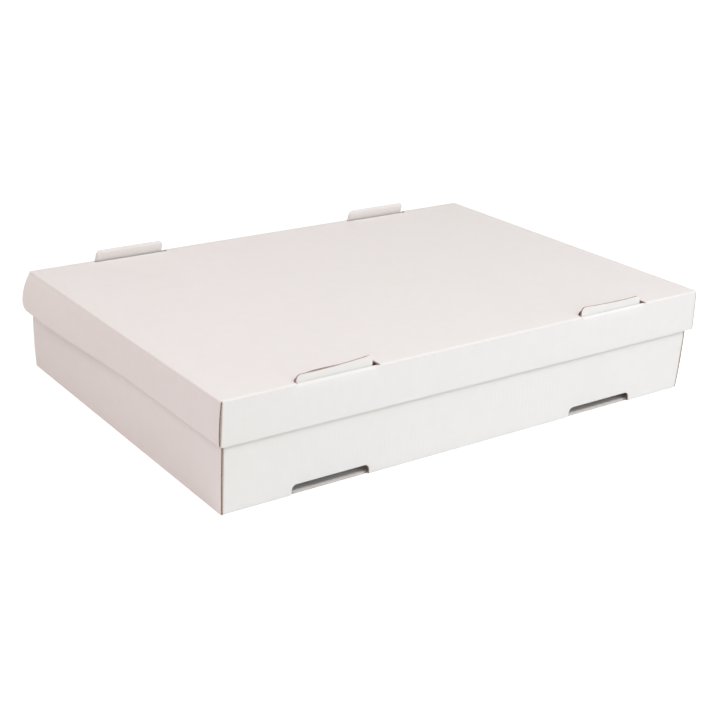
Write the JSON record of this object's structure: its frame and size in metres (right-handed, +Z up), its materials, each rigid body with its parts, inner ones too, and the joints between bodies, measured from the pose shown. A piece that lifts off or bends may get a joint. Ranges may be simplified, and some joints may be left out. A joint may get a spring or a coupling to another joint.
{
  "type": "pastry box",
  "caption": "Flat white corrugated pastry box: a folded tray with stacking tabs and notches under a lift-off lid that has holes and slots for the tabs.",
  "frame": {"origin": "middle of the tray's flat underside", "axes": "+X along the length, -Y towards the front with the taller view of the notches, +Z up"},
  "size_m": [0.4196, 0.2998, 0.0872],
  "materials": {
    "tray_board": "uncoated white liner over brown fluting, brown at the cut edges",
    "lid_board": "uncoated white liner over brown fluting, brown at the cut edges"
  },
  "bodies": {
    "tray": {"tray": "tray_board"},
    "lid": {"lid": "lid_board"}
  },
  "joints": [
    {"name": "lid_lift", "type": "slide", "parent": "tray", "child": "lid", "axis": [0, 0, 1], "range_m": [0, 0.12]}
  ]
}
